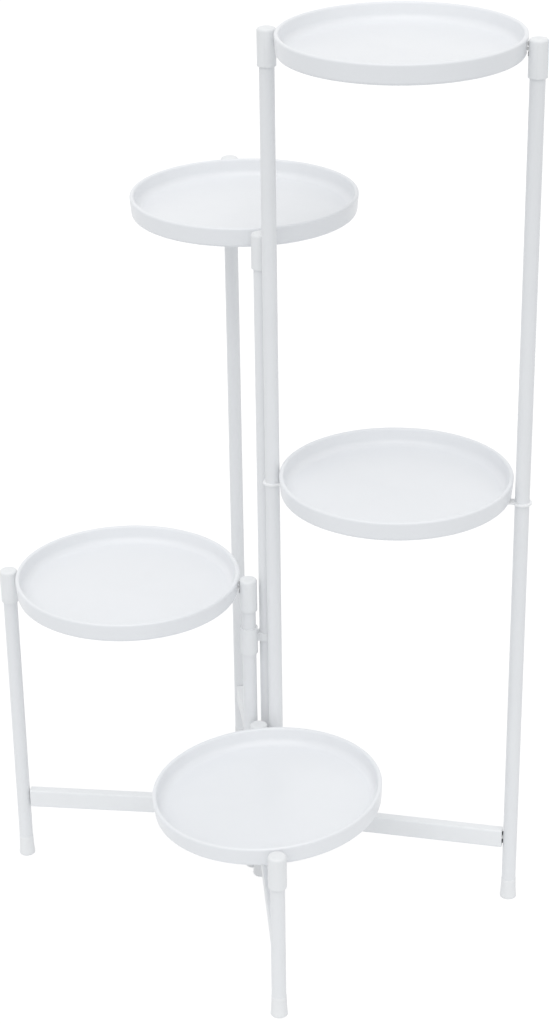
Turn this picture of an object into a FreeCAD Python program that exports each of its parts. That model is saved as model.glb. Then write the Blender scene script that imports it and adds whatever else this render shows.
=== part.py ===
import FreeCAD, Part
import math
import os
import Sketcher
from types import SimpleNamespace

# A folding plant stand. Four H-shaped frames stand like the spokes of a wheel round a square bundle of
# four legs. Each frame is two round legs, a low crossbar and a round tray hung on two pins between its
# leg caps. The tall right frame carries a second, fixed tray on a strap clamped in its leg joints.
# Plastic clips tie the legs of the bundle together in a chain (front, right, back, left), so that every
# frame can swing round until all four lie side by side.
#
# Origin: the floor under the bundle leg of the right frame. +Z is up and +X points to the right-hand
# side of the stand. Lengths are millimetres and angles are degrees.

DRIVING_SIZES = {
    # legs
    "tube_radius": (8.0, "outside of every leg tube"),
    "tube_wall": (1.0, "wall of every leg tube"),
    "fit_gap": (0.02, "radial gap between pieces pushed together"),
    "running_gap": (0.05, "radial gap between pieces that turn"),
    "spigot_length": (60.0, "rod inside each leg joint"),
    # leg caps
    "cap_radius": (10.0, "outside of a leg cap"),
    "cap_length": (39.5, "height of a leg cap"),
    "cap_top": (4.0, "thickness of the cap above the tube's end"),
    "cap_drop": (1.5, "top of the cap below the tray's rim"),
    "cap_rounding": (3.0, "rounding of the cap's top edge"),
    # feet
    "foot_radius": (9.7, "outside of a foot on the floor"),
    "foot_lip": (0.5, "wall of a foot at its top"),
    "foot_height": (25.0, "height of a foot"),
    "foot_sole": (3.0, "thickness of the foot under the tube's end"),
    "foot_rounding": (1.5, "rounding of the foot's lower edge"),
    # trays
    "tray_radius": (127.6, "outside of the rim"),
    "tray_height": (22.0, "rim top to underside"),
    "tray_draft": (1.5, "how much smaller the outside is at the bottom"),
    "tray_wall": (4.0, "wall at the floor"),
    "tray_floor": (2.5, "floor thickness"),
    "rim_width": (4.8, "width of the rim"),
    "rim_rounding": (2.2, "rounding of both rim edges"),
    "tray_cove": (9.0, "hollow rounding between wall and floor"),
    "tray_edge_rounding": (3.5, "rounding of the outer bottom edge"),
    "tray_gap": (0.6, "rim to leg cap"),
    # pins
    "pin_radius": (1.75, "tray pins and crossbar pins"),
    "pin_drop": (12.5, "tray pin axis below the rim top"),
    "pin_seat": (3.5, "how far a tray pin reaches inside the rim's radius"),
    "pin_grip": (12.0, "how far a crossbar pin reaches into the bar"),
    "pin_end": (2.0, "how far a pin stands out inside the leg tube"),
    # crossbars
    "bar_height": (22.5, "height of a crossbar"),
    "bar_thickness": (12.0, "thickness of a crossbar"),
    "bar_bottom": (68.5, "underside of a crossbar above the floor"),
    "bar_gap": (1.2, "crossbar end to leg tube"),
    "bar_rounding": (2.0, "rounding of the crossbar's long edges"),
    # rim heights above the floor
    "top_rim": (1015.0, "top tray of the right frame"),
    "middle_rim": (531.0, "middle tray of the right frame"),
    "back_rim": (791.0, "back tray"),
    "left_rim": (385.0, "left tray"),
    "front_rim": (207.0, "front tray"),
    "back_joint": (395.0, "leg joint of the back frame above the floor"),
    # strap under the middle tray
    "strap_thickness": (2.0, "flat strap with a ring at each end"),
    "strap_width": (12.0, "strap between its rings"),
    "strap_ring_radius": (10.5, "outside of the strap's rings"),
    "screw_radius": (1.5, "shank of the tray screws"),
    "screw_head_radius": (3.0, "head of the tray screws"),
    "screw_head_height": (1.2, "height of the head of the tray screws"),
    "screw_grip": (2.4, "how far a tray screw reaches into the tray"),
    "screw_inset": (11.0, "tray screw axis inside the rim's radius"),
    # clips
    "clip_radius": (10.0, "outside of a clip's collar and ring"),
    "collar_height": (32.0, "tall collar of a clip"),
    "ring_height": (9.5, "short ring of a clip"),
    "ring_rise": (13.0, "ring's underside above the collar's underside"),
    "web_width": (7.0, "strap between collar and ring"),
    "clip_step": (0.5, "gap between two rings stacked on one leg"),
    "front_clip_low": (34.0, "lower front clip above the floor"),
    "front_clip_high": (93.0, "upper front clip above the floor"),
    "left_clip_low": (126.0, "lower left clip above the floor"),
    "left_clip_high": (290.0, "upper left clip above the floor"),
    # plan, seen from above and turning from +X towards +Y
    "bundle_pitch": (22.0, "side of the square of bundle legs"),
    "bundle_angle": (115.0, "direction from the right to the back bundle leg"),
    "right_angle": (-13.3, "direction of the right frame"),
    "left_angle": (173.2, "direction of the left frame"),
    "back_angle": (97.2, "direction of the back frame"),
    "front_angle": (-86.2, "direction of the front frame"),
    "front_tray_tilt": (3.4, "how far the front tray is tipped about its pins"),
}

QUARTER_TURN = 90.0
HALF_TURN = 180.0
FULL_TURN = 360.0
UP = FreeCAD.Vector(0, 0, 1)
ALONG = FreeCAD.Vector(1, 0, 0)
ACROSS = FreeCAD.Vector(0, 1, 0)
TOUCH = 1e-4


class Dim:
    """A size worked out from the sheet: its number now and the expression that gives it."""

    def __init__(self, number, text):
        self.number = number
        self.text = text

    def __add__(self, other):
        other = as_dim(other)
        return Dim(self.number + other.number, f"({self.text} + {other.text})")

    def __sub__(self, other):
        other = as_dim(other)
        return Dim(self.number - other.number, f"({self.text} - {other.text})")

    def __mul__(self, other):
        other = as_dim(other)
        return Dim(self.number * other.number, f"({self.text} * {other.text})")

    def __truediv__(self, other):
        other = as_dim(other)
        return Dim(self.number / other.number, f"({self.text} / {other.text})")

    def __neg__(self):
        return Dim(-self.number, f"(0 - {self.text})")


def as_dim(value):
    """Lets a plain number stand beside a size in a sum."""
    if isinstance(value, Dim):
        return value
    return Dim(float(value), str(value))


ZERO = as_dim(0)


def make_sheet(doc):
    """Writes the driving sizes into the sheet and returns them by name."""
    sheet = doc.addObject("Spreadsheet::Sheet", "Sizes")
    sizes = {}
    for row, (name, (value, meaning)) in enumerate(DRIVING_SIZES.items(), start=1):
        sheet.set(f"A{row}", name)
        sheet.set(f"B{row}", str(value))
        sheet.set(f"C{row}", meaning)
        sheet.setAlias(f"B{row}", name)
        sizes[name] = Dim(value, f"Sizes.{name}")
    doc.recompute()
    return SimpleNamespace(**sizes)


def bind(thing, prop, dim):
    """Ties a property to the sheet."""
    thing.setExpression(prop, dim.text)


# ---------------------------------------------------------------- sketches and features


def new_body(label, placement):
    """A body that will be one piece of the stand."""
    body = DOC.addObject("PartDesign::Body", label)
    body.Label = label
    body.Placement = placement
    return body


def origin_plane(body, role):
    """One of the body's own origin planes."""
    return next(item for item in body.Origin.OriginFeatures if item.Role == role)


def new_sketch(body, name, role, offset=ZERO):
    """A sketch on an origin plane of the body, moved along the plane's normal."""
    sketch = body.newObject("Sketcher::SketchObject", name)
    sketch.AttachmentSupport = [(origin_plane(body, role), "")]
    sketch.MapMode = "FlatFace"
    if offset is not ZERO:
        bind(sketch, "AttachmentOffset.Base.z", offset)
    return sketch


def fix_point(sketch, geometry, point, across, up):
    """Holds a point of a sketch at two sizes from the sketch's origin."""
    for kind, dim, axis in (("DistanceX", across, -2), ("DistanceY", up, -1)):
        if abs(dim.number) < TOUCH:
            sketch.addConstraint(Sketcher.Constraint("PointOnObject", geometry, point, axis))
            continue
        index = sketch.addConstraint(Sketcher.Constraint(kind, -1, 1, geometry, point, dim.number))
        bind(sketch, f"Constraints[{index}]", dim)


def add_outline(sketch, corners):
    """A closed outline of straight lines through corners given as pairs of sizes."""
    spots = [FreeCAD.Vector(across.number, up.number, 0) for across, up in corners]
    count = len(spots)
    first = sketch.GeometryCount
    for index, spot in enumerate(spots):
        sketch.addGeometry(Part.LineSegment(spot, spots[(index + 1) % count]), False)
    for index in range(count):
        following = first + (index + 1) % count
        sketch.addConstraint(Sketcher.Constraint("Coincident", first + index, 2, following, 1))
    for index, (across, up) in enumerate(corners):
        fix_point(sketch, first + index, 1, across, up)


def add_rectangle(sketch, left, right, bottom, top):
    """A rectangle between four sizes."""
    add_outline(sketch, [(left, bottom), (right, bottom), (right, top), (left, top)])


def add_circle(sketch, radius, across=ZERO, up=ZERO):
    """A circle whose radius and centre follow the sheet."""
    centre = FreeCAD.Vector(across.number, up.number, 0)
    index = sketch.addGeometry(Part.Circle(centre, UP, radius.number), False)
    fix_point(sketch, index, 3, across, up)
    constraint = sketch.addConstraint(Sketcher.Constraint("Radius", index, radius.number))
    bind(sketch, f"Constraints[{constraint}]", radius)


def pad(body, name, sketch, length, midplane=False):
    """Extrudes a sketch along its normal."""
    feature = body.newObject("PartDesign::Pad", name)
    feature.Profile = sketch
    bind(feature, "Length", length)
    feature.Midplane = midplane
    DOC.recompute()
    return feature


def pocket(body, name, sketch, depth):
    """Cuts a sketch's outline along its normal and makes sure that something was cut."""
    before = body.Shape.Volume
    feature = body.newObject("PartDesign::Pocket", name)
    feature.Profile = sketch
    bind(feature, "Length", depth)
    feature.Reversed = True
    DOC.recompute()
    if body.Shape.Volume > before - TOUCH:
        raise RuntimeError(f"{body.Label}: {name} cut nothing")
    return feature


def mirror(body, feature, role):
    """Repeats a feature on the other side of an origin plane."""
    copy = body.newObject("PartDesign::Mirrored", f"{feature.Name}_mirror")
    copy.Originals = [feature]
    copy.MirrorPlane = (origin_plane(body, role), [""])
    body.Tip = copy
    DOC.recompute()
    return copy


def revolve(body, name, sketch):
    """Turns a sketch all round the upright axis."""
    feature = body.newObject("PartDesign::Revolution", name)
    feature.Profile = sketch
    feature.ReferenceAxis = (sketch, ["V_Axis"])
    feature.Angle = FULL_TURN
    DOC.recompute()
    return feature


def ring_edges(shape, radius, height):
    """Names of the round edges of one radius at one height."""
    names = []
    for index, edge in enumerate(shape.Edges, start=1):
        if not isinstance(edge.Curve, Part.Circle):
            continue
        same_radius = abs(edge.Curve.Radius - radius.number) < TOUCH
        same_height = abs(edge.Curve.Center.z - height.number) < TOUCH
        if same_radius and same_height:
            names.append(f"Edge{index}")
    return names


def long_edges(shape, length):
    """Names of the straight edges of one length."""
    pairs = enumerate(shape.Edges, start=1)
    return [f"Edge{index}" for index, edge in pairs if abs(edge.Length - length.number) < TOUCH]


def fillet(body, name, base, edges, radius):
    """Rounds the named edges of a feature."""
    feature = body.newObject("PartDesign::Fillet", name)
    feature.Base = (base, edges)
    bind(feature, "Radius", radius)
    DOC.recompute()
    return feature


def cylinder(name, radius, length, base, direction):
    """A plain rod that starts at a point given as three sizes."""
    rod = DOC.addObject("Part::Cylinder", name)
    bind(rod, "Radius", radius)
    bind(rod, "Height", length)
    rod.Placement = FreeCAD.Placement(FreeCAD.Vector(0, 0, 0), FreeCAD.Rotation(UP, direction))
    for axis, dim in zip("xyz", base):
        if dim is not ZERO:
            bind(rod, f"Placement.Base.{axis}", dim)
    return rod


def group(label, solids, placement):
    """Separate, alike solids that share one node."""
    compound = DOC.addObject("Part::Compound", label)
    compound.Label = label
    compound.Links = solids
    compound.Placement = placement
    return compound


# ---------------------------------------------------------------- places


def direction(angle):
    """A level unit vector."""
    turn = math.radians(angle)
    return FreeCAD.Vector(math.cos(turn), math.sin(turn), 0)


def upright(spot, height, angle):
    """A placement that stays upright and turns about the vertical."""
    base = FreeCAD.Vector(spot.x, spot.y, height.number)
    return FreeCAD.Placement(base, FreeCAD.Rotation(UP, angle))


# ---------------------------------------------------------------- leg pieces
# The local X axis of a leg piece points to the middle of its frame, where its pins come in.


def make_tube(label, spot, angle, bottom, top, bar_pin=None, tray_pin=None):
    """A length of leg tube, with a hole in its inward side for each pin that it takes."""
    body = new_body(label, upright(spot, bottom, angle))
    section = new_sketch(body, f"{label}_section", "XY_Plane")
    add_circle(section, S.tube_radius)
    add_circle(section, S.tube_radius - S.tube_wall)
    pad(body, f"{label}_pad", section, top - bottom)
    holes = (("bar", bar_pin, S.pin_radius + S.fit_gap), ("tray", tray_pin, S.pin_radius + S.running_gap))
    for kind, height, radius in holes:
        if height is not None:
            hole = new_sketch(body, f"{label}_{kind}_pin", "YZ_Plane")
            add_circle(hole, radius, ZERO, height - bottom)
            pocket(body, f"{label}_{kind}_hole", hole, S.cap_radius)
    return body


def make_cap(label, spot, angle, rim):
    """A plastic cap over the top of a leg, with a hole for the tray's pin."""
    bottom = rim - S.cap_drop - S.cap_length
    body = new_body(label, upright(spot, bottom, angle))
    bore = S.tube_radius + S.fit_gap
    ceiling = S.cap_length - S.cap_top
    profile = new_sketch(body, f"{label}_profile", "XZ_Plane")
    corners = [(bore, ZERO), (S.cap_radius, ZERO), (S.cap_radius, S.cap_length)]
    corners += [(ZERO, S.cap_length), (ZERO, ceiling), (bore, ceiling)]
    add_outline(profile, corners)
    turned = revolve(body, f"{label}_turned", profile)
    edges = ring_edges(turned.Shape, S.cap_radius, S.cap_length)
    fillet(body, f"{label}_rounding", turned, edges, S.cap_rounding)
    hole = new_sketch(body, f"{label}_pin", "YZ_Plane")
    add_circle(hole, S.pin_radius + S.running_gap, ZERO, rim - S.pin_drop - bottom)
    pocket(body, f"{label}_hole", hole, S.cap_radius)
    return body


def make_foot(label, spot, angle):
    """A flared plastic foot over the bottom of a leg."""
    body = new_body(label, upright(spot, ZERO, angle))
    bore = S.tube_radius + S.fit_gap
    profile = new_sketch(body, f"{label}_profile", "XZ_Plane")
    corners = [(ZERO, ZERO), (S.foot_radius, ZERO), (bore + S.foot_lip, S.foot_height)]
    corners += [(bore, S.foot_height), (bore, S.foot_sole), (ZERO, S.foot_sole)]
    add_outline(profile, corners)
    turned = revolve(body, f"{label}_turned", profile)
    edges = ring_edges(turned.Shape, S.foot_radius, ZERO)
    fillet(body, f"{label}_rounding", turned, edges, S.foot_rounding)
    return body


def make_spigots(label, middle, angle, joint):
    """The two rods that hold the upper leg tubes on the lower ones."""
    radius = S.tube_radius - S.tube_wall - S.fit_gap
    rods = []
    for side, across in (("inner", -HALF_SPACING), ("outer", HALF_SPACING)):
        base = (across, ZERO, -S.spigot_length / 2)
        rods.append(cylinder(f"{label}_{side}", radius, S.spigot_length, base, UP))
    return group(label, rods, upright(middle, joint, angle))


# ---------------------------------------------------------------- pieces between the legs
# Their local X axis runs from the bundle leg to the outer leg, with its origin half way.


def make_crossbar(label, middle, angle):
    """The low bar between the legs of a frame, with a pin hole in each end."""
    centre = S.bar_bottom + S.bar_height / 2
    body = new_body(label, upright(middle, centre, angle))
    section = new_sketch(body, f"{label}_section", "YZ_Plane")
    half_thick = S.bar_thickness / 2
    half_high = S.bar_height / 2
    add_rectangle(section, -half_thick, half_thick, -half_high, half_high)
    block = pad(body, f"{label}_pad", section, BAR_LENGTH, midplane=True)
    edges = long_edges(block.Shape, BAR_LENGTH)
    fillet(body, f"{label}_rounding", block, edges, S.bar_rounding)
    hole = new_sketch(body, f"{label}_pin", "YZ_Plane", BAR_LENGTH / 2 - S.pin_grip)
    add_circle(hole, S.pin_radius + S.fit_gap)
    end_hole = pocket(body, f"{label}_hole", hole, S.pin_grip)
    mirror(body, end_hole, "YZ_Plane")
    return body


def make_pins(label, placement, inner_end):
    """Two pins on one axis, from inside the piece between the legs to inside each leg tube."""
    outer_end = HALF_SPACING - S.tube_radius + S.tube_wall + S.pin_end
    length = outer_end - inner_end
    near = cylinder(f"{label}_inner", S.pin_radius, length, (-outer_end, ZERO, ZERO), ALONG)
    far = cylinder(f"{label}_outer", S.pin_radius, length, (inner_end, ZERO, ZERO), ALONG)
    return group(label, [near, far], placement)


def make_tray(label, placement, hinged):
    """A shallow round tray whose origin lies at pin height on its own axis.

    A hinged tray has a blind pin hole at each end of its pin axis. A fixed one has two blind screw
    holes in its underside.
    """
    top = S.pin_drop
    bottom = S.pin_drop - S.tray_height
    floor = bottom + S.tray_floor
    outer_low = S.tray_radius - S.tray_draft
    inner_low = outer_low - S.tray_wall
    inner_top = S.tray_radius - S.rim_width
    body = new_body(label, placement)
    profile = new_sketch(body, f"{label}_profile", "XZ_Plane")
    corners = [(ZERO, bottom), (outer_low, bottom), (S.tray_radius, top)]
    corners += [(inner_top, top), (inner_low, floor), (ZERO, floor)]
    add_outline(profile, corners)
    dish = revolve(body, f"{label}_turned", profile)
    roundings = (
        ("cove", [(inner_low, floor)], S.tray_cove),
        ("rim", [(S.tray_radius, top), (inner_top, top)], S.rim_rounding),
        ("edge", [(outer_low, bottom)], S.tray_edge_rounding),
    )
    for name, rings, radius in roundings:
        edges = [edge for ring in rings for edge in ring_edges(dish.Shape, *ring)]
        dish = fillet(body, f"{label}_{name}", dish, edges, radius)
    if hinged:
        hole = new_sketch(body, f"{label}_pin", "YZ_Plane", S.tray_radius - S.pin_seat)
        add_circle(hole, S.pin_radius + S.fit_gap)
        pin_hole = pocket(body, f"{label}_pin_hole", hole, S.pin_seat)
        mirror(body, pin_hole, "YZ_Plane")
    else:
        holes = new_sketch(body, f"{label}_screw", "XY_Plane", bottom)
        for across in (-SCREW_REACH, SCREW_REACH):
            add_circle(holes, S.screw_radius + S.fit_gap, across)
        pocket(body, f"{label}_screw_holes", holes, S.screw_grip)
    return body


def make_strap(label, middle, angle):
    """The flat strap under the middle tray, with a ring round each leg joint."""
    body = new_body(label, upright(middle, STRAP_BOTTOM, angle))
    half_wide = S.strap_width / 2
    strip = new_sketch(body, f"{label}_strip", "XY_Plane")
    add_rectangle(strip, -HALF_SPACING, HALF_SPACING, -half_wide, half_wide)
    pad(body, f"{label}_strip_pad", strip, S.strap_thickness)
    rings = new_sketch(body, f"{label}_rings", "XY_Plane")
    bores = new_sketch(body, f"{label}_bores", "XY_Plane")
    spigot_radius = S.tube_radius - S.tube_wall - S.fit_gap
    for across in (-HALF_SPACING, HALF_SPACING):
        add_circle(rings, S.strap_ring_radius, across)
        add_circle(bores, spigot_radius + S.fit_gap, across)
    for across in (-SCREW_REACH, SCREW_REACH):
        add_circle(bores, S.screw_radius + S.fit_gap, across)
    pad(body, f"{label}_rings_pad", rings, S.strap_thickness)
    pocket(body, f"{label}_holes", bores, S.strap_thickness)
    return body


def make_tray_screws(label, middle, angle):
    """Two short pan-head screws through the strap into the middle tray's floor."""
    screws = []
    shank = S.strap_thickness + S.screw_grip
    for side, across in (("inner", -SCREW_REACH), ("outer", SCREW_REACH)):
        head_base = (across, ZERO, -S.screw_head_height)
        head = cylinder(f"{label}_{side}_head", S.screw_head_radius, S.screw_head_height, head_base, UP)
        stem = cylinder(f"{label}_{side}_stem", S.screw_radius, shank, (across, ZERO, ZERO), UP)
        screw = DOC.addObject("Part::Fuse", f"{label}_{side}")
        screw.Base = head
        screw.Tool = stem
        screws.append(screw)
    return group(label, screws, upright(middle, STRAP_BOTTOM, angle))


# ---------------------------------------------------------------- clips


def make_clip(label, spot, angle, bottom):
    """A clip: a tall collar on one leg, and a short ring on the leg that local X points at."""
    body = new_body(label, upright(spot, bottom, angle))
    collar = new_sketch(body, f"{label}_collar", "XY_Plane")
    add_circle(collar, S.clip_radius)
    pad(body, f"{label}_collar_pad", collar, S.collar_height)
    web = new_sketch(body, f"{label}_web", "XY_Plane", S.ring_rise)
    add_rectangle(web, ZERO, S.bundle_pitch, -S.web_width / 2, S.web_width / 2)
    pad(body, f"{label}_web_pad", web, S.ring_height)
    ring = new_sketch(body, f"{label}_ring", "XY_Plane", S.ring_rise)
    add_circle(ring, S.clip_radius, S.bundle_pitch)
    pad(body, f"{label}_ring_pad", ring, S.ring_height)
    bores = new_sketch(body, f"{label}_bores", "XY_Plane")
    add_circle(bores, S.tube_radius + S.running_gap)
    add_circle(bores, S.tube_radius + S.running_gap, S.bundle_pitch)
    pocket(body, f"{label}_bore", bores, S.collar_height)
    return body


# ---------------------------------------------------------------- frames


def make_legs(name, inner, outer, angle, rim, joint_bottom, joint_top):
    """Both legs of a frame with caps and feet; a leg with a joint is two lengths of tube."""
    pieces = []
    bar_pin = S.bar_bottom + S.bar_height / 2
    tray_pin = rim - S.pin_drop
    tube_top = rim - S.cap_drop - S.cap_top
    for side, spot, inward in (("inner", inner, angle), ("outer", outer, angle + HALF_TURN)):
        leg = f"{name}_{side}"
        if joint_bottom is None:
            pieces.append(make_tube(f"{leg}_tube", spot, inward, S.foot_sole, tube_top, bar_pin, tray_pin))
        else:
            low = make_tube(f"{leg}_lower_tube", spot, inward, S.foot_sole, joint_bottom, bar_pin=bar_pin)
            high = make_tube(f"{leg}_upper_tube", spot, inward, joint_top, tube_top, tray_pin=tray_pin)
            pieces += [low, high]
        pieces.append(make_cap(f"{leg}_cap", spot, inward, rim))
        pieces.append(make_foot(f"{leg}_foot", spot, inward))
    return pieces


def make_frame(name, tray, inner, angle, rim, joint_bottom=None, joint_top=None, tilt=0.0):
    """One H-shaped frame and the hinged tray between its leg caps."""
    outer = inner + direction(angle) * LEG_SPACING.number
    middle = (inner + outer) * 0.5
    pieces = make_legs(name, inner, outer, angle, rim, joint_bottom, joint_top)
    pieces.append(make_crossbar(f"{name}_crossbar", middle, angle))
    bar_middle = upright(middle, S.bar_bottom + S.bar_height / 2, angle)
    pieces.append(make_pins(f"{name}_crossbar_pins", bar_middle, BAR_LENGTH / 2 - S.pin_grip))
    if joint_bottom is not None:
        joint_middle = (joint_bottom + joint_top) / 2
        pieces.append(make_spigots(f"{name}_spigots", middle, angle, joint_middle))
    hung = upright(middle, rim - S.pin_drop, angle)
    tipped = hung.multiply(FreeCAD.Placement(FreeCAD.Vector(0, 0, 0), FreeCAD.Rotation(ALONG, tilt)))
    pieces.append(make_tray(tray, tipped, hinged=True))
    pieces.append(make_pins(f"{tray}_pins", hung, S.tray_radius - S.pin_seat))
    return pieces


def make_middle_tray(inner, angle):
    """The fixed tray of the right frame with its strap and screws."""
    middle = inner + direction(angle) * HALF_SPACING.number
    return [
        make_tray("middle_tray", upright(middle, S.middle_rim - S.pin_drop, angle), hinged=False),
        make_strap("middle_tray_strap", middle, angle),
        make_tray_screws("middle_tray_screws", middle, angle),
    ]


def make_clips(right_leg, back_leg, left_leg, front_leg):
    """The clips between neighbouring bundle legs; the low rings on the back leg are stacked."""
    to_back = S.bundle_angle.number
    to_right = to_back - QUARTER_TURN
    return [
        make_clip("front_clip_lower", front_leg, to_right, S.front_clip_low),
        make_clip("front_clip_upper", front_leg, to_right, S.front_clip_high),
        make_clip("left_clip_lower", left_leg, to_right, S.left_clip_low),
        make_clip("left_clip_upper", left_leg, to_right, S.left_clip_high),
        make_clip("back_clip", right_leg, to_back, S.left_clip_low + S.ring_height + S.clip_step),
    ]


def make_stand():
    """Every piece of the stand."""
    step = S.bundle_pitch.number
    to_back = direction(S.bundle_angle.number) * step
    to_left = direction(S.bundle_angle.number + QUARTER_TURN) * step
    right_leg = FreeCAD.Vector(0, 0, 0)
    front_leg = right_leg + to_left
    back_leg = right_leg + to_back
    left_leg = back_leg + to_left
    strap_top = STRAP_BOTTOM + S.strap_thickness
    right = S.right_angle.number
    pieces = make_frame("right", "top_tray", right_leg, right, S.top_rim, STRAP_BOTTOM, strap_top)
    pieces += make_middle_tray(right_leg, right)
    back = S.back_angle.number
    pieces += make_frame("back", "back_tray", back_leg, back, S.back_rim, S.back_joint, S.back_joint)
    pieces += make_frame("left", "left_tray", left_leg, S.left_angle.number, S.left_rim)
    tilt = S.front_tray_tilt.number
    pieces += make_frame("front", "front_tray", front_leg, S.front_angle.number, S.front_rim, tilt=tilt)
    pieces += make_clips(right_leg, back_leg, left_leg, front_leg)
    return pieces


def check(pieces):
    """Stops if any feature failed or any piece is not a sound shape."""
    for item in DOC.Objects:
        if "Invalid" in item.State or "Error" in item.State:
            raise RuntimeError(f"{item.Label} failed: {item.State}")
    for piece in pieces:
        if piece.Shape.isNull() or not piece.Shape.isValid():
            raise RuntimeError(f"{piece.Label} has no valid shape")


def write(pieces):
    """One STEP file for each piece."""
    os.makedirs("parts", exist_ok=True)
    for piece in pieces:
        piece.Shape.exportStep(f"parts/{piece.Label}.step")


DOC = FreeCAD.newDocument("plant_stand")
S = make_sheet(DOC)
LEG_SPACING = (S.tray_radius + S.tray_gap + S.cap_radius) * 2
HALF_SPACING = LEG_SPACING / 2
BAR_LENGTH = LEG_SPACING - (S.tube_radius + S.bar_gap) * 2
SCREW_REACH = S.tray_radius - S.screw_inset
STRAP_BOTTOM = S.middle_rim - S.tray_height - S.strap_thickness

STAND = make_stand()
DOC.recompute()
check(STAND)
write(STAND)
print(f"{len(STAND)} pieces, {sum(len(piece.Shape.Solids) for piece in STAND)} solids")
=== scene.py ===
"""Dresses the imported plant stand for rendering: turned trays, caps and feet, finishes, camera and light.

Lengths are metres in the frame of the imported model: the origin is on the floor under the bundle leg of
the right frame, +Z is up and +X points to the right-hand side of the stand. Angles are radians, except
where a name or a docstring says degrees.
"""

import logging
import math
from dataclasses import dataclass, field, replace
from enum import Enum
from typing import Any, ClassVar

import bmesh
import bpy
from mathutils import Matrix, Vector

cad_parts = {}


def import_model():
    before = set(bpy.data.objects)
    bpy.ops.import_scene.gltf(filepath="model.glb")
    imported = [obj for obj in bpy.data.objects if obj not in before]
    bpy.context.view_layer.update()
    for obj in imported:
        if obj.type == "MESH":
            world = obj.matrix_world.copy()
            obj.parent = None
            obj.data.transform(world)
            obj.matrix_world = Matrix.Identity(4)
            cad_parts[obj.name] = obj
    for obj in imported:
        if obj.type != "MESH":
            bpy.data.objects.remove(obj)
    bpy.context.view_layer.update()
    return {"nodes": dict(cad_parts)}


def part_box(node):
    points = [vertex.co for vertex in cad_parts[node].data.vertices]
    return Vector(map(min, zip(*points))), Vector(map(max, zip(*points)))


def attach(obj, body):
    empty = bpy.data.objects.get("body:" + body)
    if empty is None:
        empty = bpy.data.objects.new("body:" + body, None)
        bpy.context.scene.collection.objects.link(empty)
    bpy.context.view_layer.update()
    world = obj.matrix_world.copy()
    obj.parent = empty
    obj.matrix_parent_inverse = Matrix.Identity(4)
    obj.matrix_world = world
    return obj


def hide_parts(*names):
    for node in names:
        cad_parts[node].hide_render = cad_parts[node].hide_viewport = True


log = logging.getLogger("plant_stand")

Colour = tuple[float, float, float]
Point = tuple[float, float]
Profile = list[Point]

MM = 0.001
MERGE = 0.001 * MM  # a lathe's seam and poles close within this
CROSS_SPAN = 4.0  # arm length of a screw's cross over its width
LOCAL = "own_place"  # the attribute that holds a turned piece's own coordinates


# ---------------------------------------------------------------- node trees


class Term:
    """An output socket that takes part in Python arithmetic: each operator adds a Math node."""

    def __init__(self, tree: "Tree", socket: bpy.types.NodeSocket | None) -> None:
        """Keeps the tree that the socket belongs to, and the socket, which a last node doesn't have."""
        self.tree = tree
        self.socket = socket

    def math(self, operation: str, *values: "Term | float") -> "Term":
        """A Math node with this operation on the values."""
        return self.tree.node("ShaderNodeMath", {"operation": operation}, dict(enumerate(values)))

    def __add__(self, other: "Term | float") -> "Term":
        """self + other."""
        return self.math("ADD", self, other)

    def __radd__(self, other: float) -> "Term":
        """other + self."""
        return self.math("ADD", other, self)

    def __sub__(self, other: "Term | float") -> "Term":
        """self - other."""
        return self.math("SUBTRACT", self, other)

    def __rsub__(self, other: float) -> "Term":
        """other - self."""
        return self.math("SUBTRACT", other, self)

    def __mul__(self, other: "Term | float") -> "Term":
        """self * other."""
        return self.math("MULTIPLY", self, other)

    def __rmul__(self, other: float) -> "Term":
        """other * self."""
        return self.math("MULTIPLY", other, self)

    def __truediv__(self, other: "Term | float") -> "Term":
        """self / other."""
        return self.math("DIVIDE", self, other)

    def __mod__(self, other: "Term | float") -> "Term":
        """The remainder of self over other."""
        return self.math("FLOORED_MODULO", self, other)

    def floor(self) -> "Term":
        """The whole part of self."""
        return self.math("FLOOR", self)

    def sine(self) -> "Term":
        """The sine of self."""
        return self.math("SINE", self)

    def cosine(self) -> "Term":
        """The cosine of self."""
        return self.math("COSINE", self)

    def highest(self, other: "Term | float") -> "Term":
        """The larger of self and other."""
        return self.math("MAXIMUM", self, other)

    def smooth(self, low: float, high: float) -> "Term":
        """A smooth step from 0 to 1.

        Args:
            low: self is at or below this where the step is 0.
            high: self is at or above this where the step is 1.

        Returns:
            The step.
        """
        return self.tree.node(
            "ShaderNodeMapRange",
            {"interpolation_type": "SMOOTHSTEP"},
            {"Value": self, "From Min": low, "From Max": high, "To Min": 0.0, "To Max": 1.0},
        )


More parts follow.
